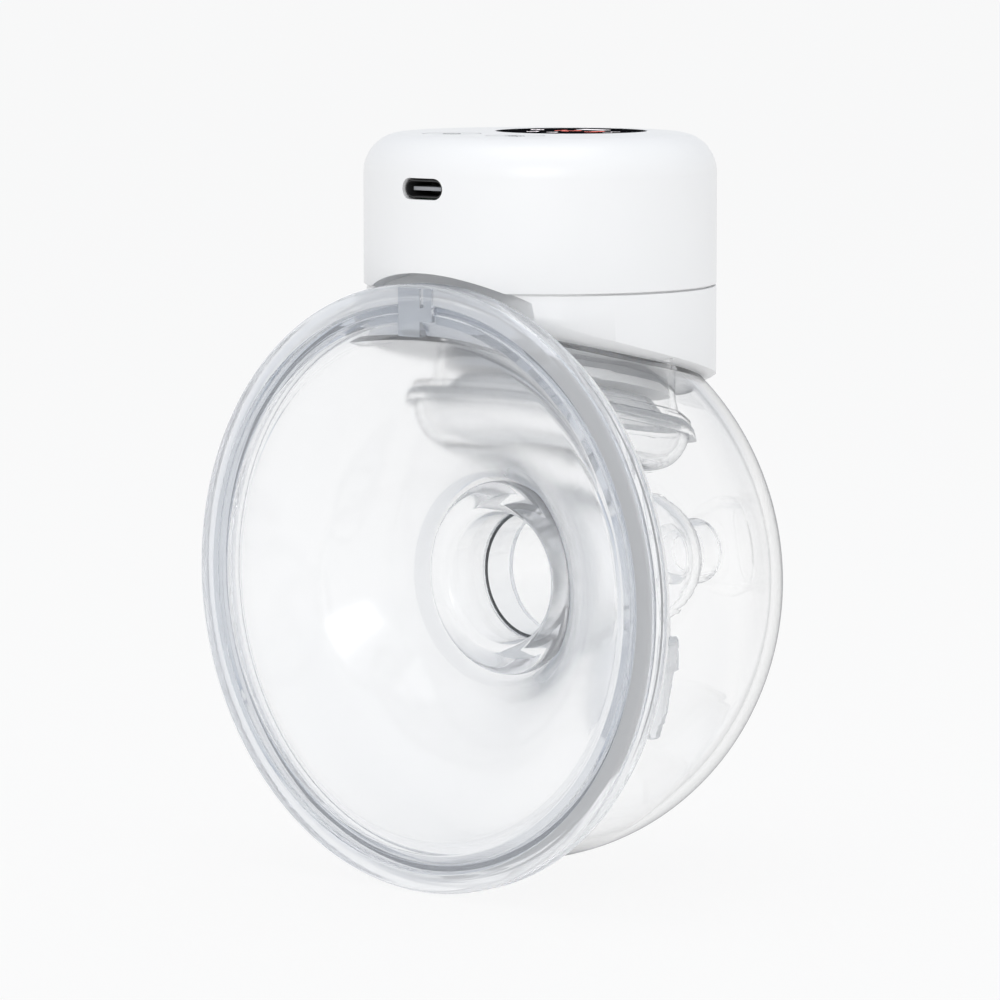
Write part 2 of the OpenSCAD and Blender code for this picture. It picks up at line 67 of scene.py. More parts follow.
# Blocks of the alignment tab, as (x, width, z, height)
TAB_BLOCKS = [(-4.1, 5.2, 45.2, 8.7), (-2, 6, 47.9, 2.5), (2, 2, 50.3, 3.6)]
TAB_PROUD = 0.3
TAB_T = 2.3

# Milk collector
BOWL_R = 51.4
BOWL_WALL = 2.0
BOWL_BACK = 57.0
BELLY_Y = 2.86
BELLY_LENGTH = 44.35
BELLY_END = 37.3
NOSE_PULL = 20
NOSE_FLAT = 14
LIP_Y = RIM_Y + RIM_WEB + 0.2
LIP_R = 52.3
FLANGE_R = 53.5
FLANGE_Y = (RIM_Y + 4.8, RIM_Y + 6.3)
FRONT_WALL_Y = -14.9
COLLAR_R = (20.6, 22)
COLLAR_BOTTOM = -8.7
FOOT_R = 25.4
FOOT_H = 1.2

# Connector
CONNECTOR_WALL = 1.6
LINK_R = 13
LINK_FRONT = BORE_LENGTH + 0.1
DOME_Y = 35
NUB_R = 6.2
NUB_END = 53.8
CUP_R = 24.6
CUP_FLANGE_R = 26.4
CUP_FLANGE_T = 1.2
CUP_TOP = -9.9
CUP_BOTTOM = -18.1
CUP_ROUND = 7.5
CUP_V = 5.9
NECK_Y = 24
NECK_R = (3.0, 6.0)
STUB_Y = 33.5
STUB_R = (6.8, 8.2)
STUB_BOTTOM = -19

# Diaphragm and valve
FLANGE_T = 0.95
DOME_RISE = 3.6
MEMBRANE_T = 0.8
VALVE_R = 9.8
VALVE_TOP = -14.8
VALVE_BOTTOM = -20.2
VALVE_TIP = -33

# Motor unit
MOTOR_R = 32.0
MOTOR_Y = 10.0
HOUSING_WALL = 2.2
INNER_R = MOTOR_R - HOUSING_WALL
PARTING_Z = 53.0
TOP_Z = 80.4
TOP_ROUND = 7.1
SLANT = math.radians(13)
UNDERSIDE_Z = 39.9
BOTTOM_ROUND = 4.0
FLOOR_T = 2.4
BOSS_R = 20.2
BOSS_DROP = 4.4
BOSS_WALL = 1.8
SCOOP_R = 42.2
SCOOP_Z = PARTING_Z + 3.4 - SCOOP_R
SCOOP_Y = -14.6
SCOOP_WALL = 2.0
NOTCH_ANGLES = (-48.4, -1.9, 181.9, 228.4)
NOTCH_W = 1.4
NOTCH_DEPTH = 1.2
NOTCH_RISE = 1
SCREW_ANGLES = (-22, 30, 150, 202)
SCREW_RING_R = 27.4

# Controls and socket
WINDOW_R = 13.75
WINDOW_Y = 18.6
WINDOW_T = 1.2
WINDOW_LEDGE_R = 12
BUTTON_R = 5.25
BUTTON_X = 7.6
BUTTON_Y = -5.4
USB_Z = 71.3
USB_SLOT = (9.5, 3.8)
USB_SHELL = (8.9, 3.2)
USB_BORE = (8.3, 2.6)
USB_DEPTH = 7.4
USB_FRONT_Y = MOTOR_Y - MOTOR_R + 0.8

# ---- Sizes of what only the looks have ----

# Parting groove round the motor unit: its width and the radius of its floor
SEAM = 0.34
SEAM_R = MOTOR_R - 0.9
# Gap between the motor unit's underside and the collector's plate
SEAT_GAP = 0.03
# Radii between which the rim's front face gets a band of painted shade for the shade in its groove, and
# where the funnel begins
SHADED_BAND_R = (48.4, 51)
FUNNEL_R = 46.4
# Wells of the four screws in the underside
SCREW_WELL_R = 2.0
SCREW_WELL_H = 3.2
# Lit digits of the display: width, height and thickness of a bar
DIGIT_W = 1.9
DIGIT_H = 3.6
DIGIT_BAR = 0.4


# ---- Mesh helpers ----


def arc(centre, r, start, end, steps=12, r_high=None):
    """Points of an arc between two angles in degrees. With r_high, of an ellipse that is that high."""
    out = []
    for k in range(steps + 1):
        a = math.radians(start + (end - start) * k / steps)
        out.append(Vector(centre) + Vector((r * math.cos(a), (r_high or r) * math.sin(a))))
    return out


def rounded(points, steps=6):
    """A closed loop of (r, h) points. A third number on a point rounds its corner by that radius."""
    out = []
    count = len(points)
    for i, point in enumerate(points):
        corner = Vector(point[:2])
        radius = point[2] if len(point) > 2 else 0
        if radius == 0:
            out.append(corner)
            continue
        before = (Vector(points[i - 1][:2]) - corner).normalized()
        after = (Vector(points[(i + 1) % count][:2]) - corner).normalized()
        half = before.angle(after) / 2
        centre = corner + (before + after).normalized() * radius / math.sin(half)
        start = corner + before * radius / math.tan(half) - centre
        end = corner + after * radius / math.tan(half) - centre
        turn = math.atan2(start.x * end.y - start.y * end.x, start.dot(end))
        for k in range(steps + 1):
            out.append(centre + Matrix.Rotation(turn * k / steps, 2) @ start)
    return out


def bezier(p, steps, offset=0.0):
    """Points of a cubic curve through four control points, moved along its left-hand normal by offset."""
    out = []
    p = [Vector(q) for q in p]
    for i in range(steps + 1):
        t = i / steps
        u = 1 - t
        at = u**3 * p[0] + 3 * t * u * u * p[1] + 3 * t * t * u * p[2] + t**3 * p[3]
        slope = (
            3 * u * u * (p[1] - p[0]) + 6 * t * u * (p[2] - p[1]) + 3 * t * t * (p[3] - p[2])
        )
        normal = Vector((slope.y, -slope.x)).normalized()
        out.append(at + offset * normal)
    return out


def rectangle(x0, y0, x1, y1):
    return [(x0, y0), (x1, y0), (x1, y1), (x0, y1)]


def obround(width, height):
    """Outline of a slot with round ends, about the origin."""
    reach = (width - height) / 2
    return arc((reach, 0), height / 2, -90, 90, 16) + arc((-reach, 0), height / 2, 90, 270, 16)


def mesh_object(name, bm):
    bmesh.ops.recalc_face_normals(bm, faces=bm.faces)
    mesh = bpy.data.meshes.new(name)
    bm.to_mesh(mesh)
    bm.free()
    ob = bpy.data.objects.new(name, mesh)
    bpy.context.scene.collection.objects.link(ob)
    return ob


TURNED_ABOUT = {
    "X": lambda r, h, a: (h, r * math.cos(a), r * math.sin(a)),
    "Y": lambda r, h, a: (r * math.sin(a), h, r * math.cos(a)),
    "Z": lambda r, h, a: (r * math.cos(a), r * math.sin(a), h),
}

SWEPT_ALONG = {
    "X": lambda u, v, w: (w, u, v),
    "Y": lambda u, v, w: (u, w, v),
    "Z": lambda u, v, w: (u, v, w),
}


def lathe(name, loop, axis="Y", place=None, segments=ROUND):
    """Solid of revolution of a closed loop of (radius, height) points, moved by the matrix place."""
    bm = bmesh.new()
    put = TURNED_ABOUT[axis]
    rings = []
    for r, h in loop:
        if r < 1e-6:
            rings.append([bm.verts.new(Vector(put(0, h, 0)) * MM)] * segments)
            continue
        ring = []
        for k in range(segments):
            ring.append(bm.verts.new(Vector(put(r, h, 2 * math.pi * k / segments)) * MM))
        rings.append(ring)
    for i, ring in enumerate(rings):
        after = rings[(i + 1) % len(rings)]
        for k in range(segments):
            n = (k + 1) % segments
            corners = []
            for v in (ring[k], ring[n], after[n], after[k]):
                if v not in corners:
                    corners.append(v)
            if len(corners) > 2:
                bm.faces.new(corners)
    if place is not None:
        bm.transform(place)
    return mesh_object(name, bm)


def rod(name, r, h0, h1, axis="Y", place=None, segments=COARSE):
    return lathe(name, [(0, h0), (r, h0), (r, h1), (0, h1)], axis, place, segments)


def add_prism(bm, outline, w0, w1, axis):
    """Adds the solid of a flat outline, swept along the axis from w0 to w1."""
    put = SWEPT_ALONG[axis]
    first, last = [[bm.verts.new(Vector(put(u, v, w)) * MM) for u, v in outline] for w in (w0, w1)]
    bm.faces.new(first)
    bm.faces.new(last[::-1])
    for i in range(len(outline)):
        n = (i + 1) % len(outline)
        bm.faces.new((first[i], first[n], last[n], last[i]))


def prism(name, outline, w0, w1, axis="X", place=None):
    """Solid of a flat outline. Axis X: (y, z) points swept along X; Y: (x, z) along Y; Z: (x, y) along Z."""
    bm = bmesh.new()
    add_prism(bm, outline, w0, w1, axis)
    if place is not None:
        bm.transform(place)
    return mesh_object(name, bm)


def bake(ob):
    """Puts the outcome of the object's modifiers into its mesh."""
    graph = bpy.context.evaluated_depsgraph_get()
    made = bpy.data.meshes.new_from_object(ob.evaluated_get(graph))
    ob.modifiers.clear()
    ob.data = made


def combine(target, other, mode="DIFFERENCE"):
    """Applies an exact boolean of other to target and removes other."""
    mod = target.modifiers.new("combine", "BOOLEAN")
    mod.operation = mode
    mod.object = other
    mod.solver = "EXACT"
    bake(target)
    bpy.data.objects.remove(other)
    return target


def soften(ob, width):
    """Rounds every sharp edge a little, as a mould does."""
    mod = ob.modifiers.new("edge", "BEVEL")
    mod.width = width * MM
    mod.segments = 2
    mod.limit_method = "ANGLE"
    mod.angle_limit = math.radians(40)
    mod.use_clamp_overlap = True
    mod.harden_normals = False
    bake(ob)


def smooth(ob, angle):
    mesh = ob.data
    mesh.polygons.foreach_set("use_smooth", [True] * len(mesh.polygons))
    mesh.set_sharp_from_angle(angle=math.radians(angle))
    mesh.update()


def move(x=0.0, y=0.0, z=0.0):
    return Matrix.Translation(Vector((x, y, z)) * MM)


ON_MOTOR = move(0, MOTOR_Y, 0)
ON_SLANT = move(0, MOTOR_Y, UNDERSIDE_Z) @ Matrix.Rotation(-SLANT, 4, "X")
ON_CUP = ON_SLANT @ move(0, CUP_V, 0)


def underside_z(r, angle):
    """Height of the slanted underside at a distance and a direction from the motor unit's axis."""
    return UNDERSIDE_Z - math.tan(SLANT) * r * math.sin(angle)


# ---- Materials ----

# Colour of the light that a thick clear piece lets through, and of its haze
TINT = (0.88, 0.90, 0.93)
MILK_WHITE = (0.90, 0.91, 0.93)
CLEAR_WHITE = (1.0, 1.0, 1.0)
# Share of the painted edge shade at the very edge of a clear piece: a dull outline colour that stands in for
# the dark reflections there
EDGE_SHADE_SHARE = 0.9
# What a clear piece leaves of the lamps' light behind it
LAMP_LIGHT = (0.975, 0.98, 0.985, 1)


def new_material(name):
    mat = bpy.data.materials.new(name)
    mat.use_nodes = True
    tree = mat.node_tree
    tree.nodes.clear()
    out = tree.nodes.new("ShaderNodeOutputMaterial")
    return mat, tree, out


def node(tree, kind, **inputs):
    """A new node with constants on its sockets. An underscore stands for a space in a socket's name."""
    n = tree.nodes.new(kind)
    for key, value in inputs.items():
        n.inputs[key.replace("_", " ")].default_value = value
    return n


def math_node(tree, operation, *values, clamp=False):
    """A maths node of numbers and other nodes' outputs."""
    n = tree.nodes.new("ShaderNodeMath")
    n.operation = operation
    n.use_clamp = clamp
    for i, value in enumerate(values):
        if isinstance(value, (int, float)):
            n.inputs[i].default_value = value
        else:
            tree.links.new(value, n.inputs[i])
    return n.outputs[0]


def noise(tree, scale, detail):
    """A noise pattern fixed to the piece, with the given number of features per metre."""
    place = tree.nodes.new("ShaderNodeTexCoord")
    n = node(tree, "ShaderNodeTexNoise", Scale=scale, Detail=detail)
    tree.links.new(place.outputs["Object"], n.inputs["Vector"])
    return n.outputs[0]


def ramp(tree, value, stops):
    n = tree.nodes.new("ShaderNodeValToRGB")
    ends = n.color_ramp.elements
    while len(ends) < len(stops):
        ends.new(0.5)
    for element, (at, colour) in zip(ends, stops):
        element.position = at
        element.color = (*colour, 1)
    tree.links.new(value, n.inputs[0])
    return n.outputs[0]


def relief(tree, pattern, strength, depth, shader):
    """Tilts the shader's surface by a pattern."""
    tilt = node(tree, "ShaderNodeBump", Strength=strength, Distance=depth * MM)
    tree.links.new(pattern, tilt.inputs["Height"])
    tree.links.new(tilt.outputs[0], shader.inputs["Normal"])


def mixed(tree, share, first, second):
    """The output of the first shader, with a share of the second in it."""
    mix = tree.nodes.new("ShaderNodeMixShader")
    if isinstance(share, float):
        mix.inputs[0].default_value = share
    else:
        tree.links.new(share, mix.inputs[0])
    tree.links.new(first, mix.inputs[1])
    tree.links.new(second, mix.inputs[2])
    return mix.outputs[0]


def edge_on(tree, power):
    """Rises from 0 where a surface is seen straight on to 1 where it is seen edge-on."""
    facing = node(tree, "ShaderNodeLayerWeight", Blend=0.5)
    return math_node(tree, "POWER", facing.outputs["Facing"], power)


def plastic(name, colour, roughness, spread=0.02, grain=900.0, bump=0.02, metallic=0.0, shine=0.5):
    """Moulded plastic or metal: fine grain in the bump, slow change in colour and gloss."""
    mat, tree, out = new_material(name)
    shader = node(tree, "ShaderNodeBsdfPrincipled", Metallic=metallic, Specular_IOR_Level=shine)
    low = tuple(max(0.0, c * (1 - spread)) for c in colour)
    high = tuple(min(1.0, c * (1 + spread)) for c in colour)
    slow = noise(tree, 60.0, 2.0)
    tree.links.new(ramp(tree, slow, [(0.35, low), (0.65, high)]), shader.inputs["Base Color"])
    fine = noise(tree, grain, 4.0)
    swing = 0.12
    rough = math_node(tree, "MULTIPLY_ADD", fine, swing, roughness - swing / 2)
    tree.links.new(rough, shader.inputs["Roughness"])
    relief(tree, fine, bump, 0.2, shader)
    tree.links.new(shader.outputs[0], out.inputs[0])
    return mat


def clear(name, through, edge, body, power, strength, haze, roughness):
    """See-through soft hose. Straight on it lets light through, tinted by through; towards its edges it
    turns to edge and shows more of its own colour, body."""
    mat, tree, out = new_material(name)
    rise = edge_on(tree, power)
    pass_through = tree.nodes.new("ShaderNodeBsdfTransparent")
    tree.links.new(ramp(tree, rise, [(0.0, through), (1.0, edge)]), pass_through.inputs["Color"])
    shader = node(tree, "ShaderNodeBsdfPrincipled", Base_Color=(*body, 1))
    slow = noise(tree, 140.0, 2.0)
    tree.links.new(math_node(tree, "MULTIPLY_ADD", slow, 0.06, roughness), shader.inputs["Roughness"])
    cloud = math_node(tree, "MULTIPLY", slow, haze * 2)
    share = math_node(tree, "MULTIPLY", rise, strength)
    share = math_node(tree, "ADD", share, cloud, clamp=True)
    tree.links.new(mixed(tree, share, pass_through.outputs[0], shader.outputs[0]), out.inputs[0])
    return mat


def refractive(
    name,
    ior,
    roughness,
    density,
    line,
    haze=0.0,
    cloud=MILK_WHITE,
    straight=CLEAR_WHITE,
    ripple=0.0,
    edge_power=6.0,
):
    """Clear solid that bends light. It is tinted a little by its thickness, hazed by a share of its cloud
    colour, and given painted shade in the line colour where it is seen edge-on, in place of dark
    reflections."""
    mat, tree, out = new_material(name)
    shader = node(
        tree, "ShaderNodeBsdfPrincipled", Base_Color=(*straight, 1), Transmission_Weight=1.0, IOR=ior
    )
    slow = noise(tree, 120.0, 2.0)
    rough = math_node(tree, "MULTIPLY_ADD", slow, roughness * 0.4, roughness * 0.8)
    tree.links.new(rough, shader.inputs["Roughness"])
    if ripple:
        relief(tree, slow, ripple, 0.5, shader)
    top = shader.outputs[0]
    if haze:
        milk = node(tree, "ShaderNodeBsdfPrincipled", Base_Color=(*cloud, 1), Roughness=0.5)
        top = mixed(tree, haze, top, milk.outputs[0])
    # Painted shade: a dull surface of the line colour, blended in where the piece is seen edge-on in place
    # of dark reflections
    outline = node(
        tree, "ShaderNodeBsdfPrincipled", Base_Color=(*line, 1), Roughness=0.35, Specular_IOR_Level=0.0
    )
    rise = math_node(tree, "MULTIPLY", edge_on(tree, edge_power), EDGE_SHADE_SHARE)
    top = mixed(tree, rise, top, outline.outputs[0])
    path = tree.nodes.new("ShaderNodeLightPath")
    shade = node(tree, "ShaderNodeBsdfTransparent", Color=LAMP_LIGHT)
    top = mixed(tree, path.outputs["Is Shadow Ray"], top, shade.outputs[0])
    tree.links.new(top, out.inputs[0])
    inside = node(tree, "ShaderNodeVolumeAbsorption", Color=(*TINT, 1), Density=density)
    tree.links.new(inside.outputs[0], out.inputs["Volume"])
    return mat


def glow(name, colour, strength):
    mat, tree, out = new_material(name)
    shader = node(
        tree,
        "ShaderNodeBsdfPrincipled",
        Base_Color=(*colour, 1),
        Roughness=0.4,
        Emission_Color=(*colour, 1),
        Emission_Strength=strength,
    )
    tree.links.new(shader.outputs[0], out.inputs[0])
    return mat


WHITE = plastic("white_plastic", (0.85, 0.852, 0.855), 0.34, 0.006, grain=2600.0, bump=0.03)
BUTTON_WHITE = plastic("button_plastic", (0.80, 0.802, 0.805), 0.42, 0.006, grain=2600.0, bump=0.04)
GLASS_BLACK = plastic("black_glass", (0.006, 0.006, 0.007), 0.3, 0.05, 700.0, 0.004, shine=0.0)
BLACK = plastic("black_plastic", (0.015, 0.015, 0.016), 0.35, spread=0.05)
DARK = plastic("dark_plastic", (0.05, 0.052, 0.056), 0.45, spread=0.05)
STEEL = plastic("steel", (0.62, 0.63, 0.65), 0.3, metallic=1.0, grain=5000.0, bump=0.008)
COPPER = plastic("copper", (0.72, 0.35, 0.18), 0.35, metallic=1.0, grain=2500.0, bump=0.3)
GREEN = plastic("board_green", (0.02, 0.12, 0.05), 0.4, spread=0.15)
IVORY = plastic("natural_nylon", (0.66, 0.65, 0.6), 0.45)
RUBBER = plastic("grey_silicone", (0.32, 0.33, 0.35), 0.55, bump=0.08)
PRINT = plastic("icon_print", (0.19, 0.195, 0.205), 0.5)
BATTERY = plastic("battery_film", (0.45, 0.47, 0.5), 0.3, metallic=0.6, bump=0.1)
CONTACT = plastic("contact_grey", (0.34, 0.35, 0.37), 0.4)
RED_LIGHT = glow("display_red", (0.9, 0.2, 0.16), 0.9)
WHITE_LIGHT = glow("display_white", (0.9, 0.86, 0.88), 0.7)

SILICONE_IOR = 1.41
PLASTIC_IOR = 1.50
# Greys of the painted edge shade. The band's grey is also the painted shade of the rim's groove band
RIM_EDGE_SHADE_GREY = (0.60, 0.63, 0.68)
BAND_SHADE_GREY = (0.55, 0.58, 0.63)

# The fifth value of each clear material is the colour of its painted edge shade
SILICONE = refractive(
    "clear_silicone",
    SILICONE_IOR,
    0.13,
    3.0,
    (0.62, 0.65, 0.69),
    haze=0.07,
    straight=(0.992, 0.994, 0.997),
    ripple=0.02,
)
SILICONE_RIM = refractive("thick_silicone", SILICONE_IOR, 0.03, 3.0, RIM_EDGE_SHADE_GREY, 0.2)
SILICONE_FACE = refractive("rim_face_silicone", SILICONE_IOR, 0.08, 3.0, RIM_EDGE_SHADE_GREY, 0.38)
# Painted shade: the grey haze of this material darkens the band over the rim's groove
SILICONE_SHADED_BAND = refractive("rim_shaded_band_silicone", SILICONE_IOR, 0.08, 3.0, BAND_SHADE_GREY, 0.34, BAND_SHADE_GREY)
SILICONE_LIP = refractive("lip_silicone", SILICONE_IOR, 0.10, 1.0, RIM_EDGE_SHADE_GREY, 0.12)
SILICONE_TAB = refractive("tab_silicone", SILICONE_IOR, 0.2, 8.0, RIM_EDGE_SHADE_GREY, 0.45, (0.62, 0.65, 0.69))
SOFT_CLEAR = refractive("soft_silicone", SILICONE_IOR, 0.25, 5.0, (0.6, 0.63, 0.67), 0.18, ripple=0.05)
CLEAR = refractive("clear_plastic", PLASTIC_IOR, 0.0, 2.0, (0.05, 0.06, 0.08), edge_power=11.0)
INNER_CLEAR = refractive(
    "clear_connector", PLASTIC_IOR, 0.0, 3.0, (0.12, 0.14, 0.17), 0.02, edge_power=10.0
)
HOSE = clear("hose_silicone", (0.9, 0.92, 0.94), (0.6, 0.64, 0.68), (0.75, 0.78, 0.8), 2.0, 0.5, 0.2, 0.2)


def piece(ob, body, material, replaces=None, angle=32):
    """Hands a finished mesh to the frame: its body and its material. It hides the CAD nodes that the mesh
    stands for.
    """
    smooth(ob, angle)
    if not ob.data.materials:
        ob.data.materials.append(material)
    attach(ob, body)
    if replaces:
        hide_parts(*replaces)


# ---- Breast shield ----

SHIELD_MATERIALS = [SILICONE, SILICONE_RIM, SILICONE_TAB, SILICONE_LIP, SILICONE_FACE, SILICONE_SHADED_BAND]


def shield_material(r, y):
    """Material of the shield's surface at a distance from the tunnel's axis and a place along it."""
    if y < RIM_Y - 0.02:
        return SILICONE_TAB
    if r > SHADED_BAND_R[1] and y < RIM_Y + 0.6:
        return SILICONE_FACE
    # The groove band gets the material with painted shade
    if SHADED_BAND_R[0] < r < SHADED_BAND_R[1] and y < RIM_Y + 1.2:
        return SILICONE_SHADED_BAND
    if r > FUNNEL_R - 0.1:
        return SILICONE_RIM
    if r < 19.4 and y > -2.5:
        return SILICONE_LIP
    return SILICONE


def rim_loop():
    """Front of the rim, from its outer edge over the groove and the bead to where the funnel begins."""
    loop = rounded(
        [
            (RIM_R, RIM_Y + RIM_HOOP, 0.5),
            (RIM_R, RIM_Y, 1.0),
            (51.0, RIM_Y, 0.25),
            (50.6, RIM_Y + 1.1, 0.2),
            (49.5, RIM_Y + 1.1, 0.2),
            (49.2, RIM_Y + 0.5, 0.15),
            (47.6, RIM_Y + 0.5, 0.5),
            (FUNNEL_R, RIM_Y + 1.6),
            (FUNNEL_R, RIM_Y + 2.6),
            (LIP_SLOT_R[1], RIM_Y + RIM_HOOP),
        ]
    )
    # The last three corners only set how the first and the seventh are rounded
    return loop[:-3]


def shield():
    funnel = [(FUNNEL_R, RIM_Y + 1.6), (33, RIM_Y + 2.2), (22.8, RIM_Y + 13.2), (17.9, 0.4)]
    front = bezier(funnel, 40)
    back = [p for p in reversed(bezier(funnel, 40, SHIELD_WALL)) if 17.0 < p.x < 47]
    mouth = arc((16.1, 0.5), 1.6, 0, -90, r_high=1.7) + arc((13.6, 0), 1.6, -90, -180)
    sleeve = [
        (TUNNEL_R, BORE_LENGTH),
        (SLEEVE_BORE_R, BORE_LENGTH),
        (SLEEVE_BORE_R, SLEEVE_END),
        (SLEEVE_R, SLEEVE_END),
        (SLEEVE_R, 5.0),
    ]
    lip_slot = [
        (LIP_SLOT_R[0], RIM_Y + 3.3),
        (LIP_SLOT_R[0], RIM_Y + RIM_WEB),
        (LIP_SLOT_R[1], RIM_Y + RIM_WEB),
        (LIP_SLOT_R[1], RIM_Y + RIM_HOOP),
    ]
    loop = rim_loop() + front[1:-1] + mouth + sleeve + back + lip_slot
    ob = lathe("breast_shield_skin", loop, segments=FINE)
    for x, width, z, height in TAB_BLOCKS:
        corners = [(u, v, 0.3) for u, v in rectangle(x, z, x + width, z + height)]
        block = prism("tab", rounded(corners, 4), RIM_Y - TAB_PROUD, RIM_Y - TAB_PROUD + TAB_T, "Y")
        combine(ob, block, "UNION")
    for material in SHIELD_MATERIALS:
        ob.data.materials.append(material)
    for face in ob.data.polygons:
        at = face.center / MM
        material = shield_material(math.hypot(at.x, at.z), at.y)
        face.material_index = SHIELD_MATERIALS.index(material)
    piece(ob, "breast_shield", SILICONE, ["breast_shield"])


# ---- Milk collector ----


def bowl_loop(inset, front_y):
    """Profile of the bowl: a belly that is part of an ellipse, then a curve to the flat nose."""
    r = BOWL_R - inset
    length = BELLY_LENGTH - inset
    tip = BOWL_BACK - inset
    last = math.radians(BELLY_END)
    belly = arc((0, BELLY_Y), r, 0, BELLY_END, 24, length)
    lead = Vector((-r * math.sin(last), length * math.cos(last))).normalized()
    nose = bezier([belly[-1], belly[-1] + (NOSE_PULL - inset / 2) * lead, (NOSE_FLAT, tip), (0, tip)], 32)
    return [(0, front_y), (r, front_y)] + belly + nose[1:]


def above_plate(inset):
    """Space over the slanted plate and behind the collector's front wall."""
    front = FRONT_WALL_Y - inset
    far = 120
    drop = SEAT_GAP + inset / math.cos(SLANT)

    def z_at(y):
        return UNDERSIDE_Z - drop - (y - MOTOR_Y) * math.tan(SLANT)

    return prism("above", [(front, z_at(front)), (far, z_at(far)), (far, 150), (front, 150)], -90, 90)


def collector():
    ob = combine(lathe("milk_collector_shell", bowl_loop(0, LIP_Y), segments=WIDE), above_plate(0))
    room = lathe("room", bowl_loop(BOWL_WALL, LIP_Y - 1), segments=WIDE)
    combine(ob, combine(room, above_plate(BOWL_WALL)))
    lip = [
        (50.4, LIP_Y),
        (LIP_R, LIP_Y, 0.4),
        (LIP_R, LIP_Y + 1.4),
        (51.2, FLANGE_Y[0]),
        (FLANGE_R, FLANGE_Y[0], 0.3),
        (FLANGE_R, FLANGE_Y[1], 0.5),
        (50.4, FLANGE_Y[1]),
    ]
    combine(ob, lathe("lip", rounded(lip), segments=WIDE), "UNION")
    foot_top = COLLAR_BOTTOM + FOOT_H
    collar = [
        (0, COLLAR_BOTTOM),
        (FOOT_R, COLLAR_BOTTOM),
        (FOOT_R, foot_top),
        (COLLAR_R[1], foot_top),
        (COLLAR_R[1], -0.3),
        (0, -0.3),
    ]
    combine(ob, lathe("collar", collar, "Z", ON_CUP), "UNION")
    combine(ob, rod("bore", COLLAR_R[0], -30, 30, "Z", ON_CUP, ROUND))
    piece(ob, "collector", CLEAR, ["milk_collector"], 28)


# ---- Connector, diaphragm and valve ----


def cup_loop(r, bottom, rounding, rim):
    """Profile of a bowl with a rounded bottom edge, closed by the points of its rim."""
    return [(0, bottom)] + arc((r - rounding, bottom + rounding), rounding, -90, 0) + rim


def link_loop(r, front_y):
    """Profile of the tube that ends in a dome."""
    return [(0, front_y), (r, front_y)] + arc((0, DOME_Y), r, 0, 90, 24)


def connector():
    neck = move(0, NECK_Y, 0)
    stub = move(0, STUB_Y, 0)
    flange_bottom = CUP_TOP - CUP_FLANGE_T
    flange = [(CUP_R, flange_bottom), (CUP_FLANGE_R, flange_bottom), (CUP_FLANGE_R, CUP_TOP), (0, CUP_TOP)]
    ob = lathe("connector_shell", link_loop(LINK_R, LINK_FRONT))
    combine(ob, rod("nub", NUB_R, 43, NUB_END), "UNION")
    combine(ob, lathe("cup", cup_loop(CUP_R, CUP_BOTTOM, CUP_ROUND, flange), "Z", ON_CUP), "UNION")
    combine(ob, rod("neck", NECK_R[1], 0, 19.5, "Z", neck), "UNION")
    combine(ob, rod("stub", STUB_R[1], STUB_BOTTOM, -5, "Z", stub), "UNION")

    cup_r = CUP_R - CONNECTOR_WALL
    open_top = [(cup_r, CUP_TOP + 1), (0, CUP_TOP + 1)]
    cup_room = cup_loop(cup_r, CUP_BOTTOM + CONNECTOR_WALL, CUP_ROUND - CONNECTOR_WALL, open_top)
    combine(ob, lathe("link_bore", link_loop(LINK_R - CONNECTOR_WALL, LINK_FRONT - 1)))
    combine(ob, rod("nub_bore", 4.8, 49.5, 56))
    combine(ob, lathe("cup_bore", cup_room, "Z", ON_CUP))
    combine(ob, rod("neck_bore", NECK_R[0], 0, 25, "Z", neck))
    combine(ob, rod("stub_bore", STUB_R[0], STUB_BOTTOM - 1, -5, "Z", stub))
    piece(ob, "connector", INNER_CLEAR, ["connector"], 28)


def diaphragm():
    base = CUP_TOP + 0.05
    flange_top = base + FLANGE_T
    crown = flange_top + DOME_RISE
    loop = [
        (0, crown - MEMBRANE_T),
        (16.4, crown - MEMBRANE_T, 1.5),
        (19.2, flange_top - MEMBRANE_T, 1.0),
        (19.2, base),
        (26.2, base),
        (26.2, flange_top, 0.3),
        (20.0, flange_top, 1.2),
        (17.0, crown, 1.2),
        (0, crown),
    ]
    ob = lathe("diaphragm_skin", rounded(loop), "Z", ON_CUP)
    piece(ob, "diaphragm", SOFT_CLEAR, ["diaphragm"])


def bill(name, r, half_lip, top, tip):
    """A cone pressed flat towards its tip."""
    ob = lathe(name, [(0, tip), (r * 0.8, tip), (r, top), (0, top)], "Z", None, COARSE)
    wedge = prism("wedge", [(-half_lip, tip), (half_lip, tip), (r, top), (-r, top)], -r - 1, r + 1)
    return combine(ob, wedge, "INTERSECT")


def valve():
    collar = [(0, VALVE_BOTTOM), (VALVE_R, VALVE_BOTTOM, 0.4), (VALVE_R, VALVE_TOP, 0.4), (0, VALVE_TOP)]
    seat_bottom = VALVE_BOTTOM + 1
    ob = lathe("duckbill_valve_skin", rounded(collar), "Z", None, SMALL)
    combine(ob, bill("bill", 9, 1, VALVE_BOTTOM, VALVE_TIP), "UNION")
    combine(ob, rod("seat", STUB_R[1] + 0.05, seat_bottom, -9, "Z", None, SMALL))
    combine(ob, bill("inside", 7.8, 0.15, seat_bottom, VALVE_TIP - 0.1))
    ob.data.transform(move(0, STUB_Y, 0))
    piece(ob, "duckbill_valve", SOFT_CLEAR, ["duckbill_valve"], 30)


# ---- Motor unit ----


def scoop(grow=0.0):
    """Arched tunnel that clears the shield's rim."""
    r = SCOOP_R + grow
    foot = SCOOP_Z - 80
    outline = [(-r, foot), (r, foot)] + arc((0, SCOOP_Z), r, 0, 180, 96)
    return prism("scoop", outline, -100, SCOOP_Y + grow, "Y")


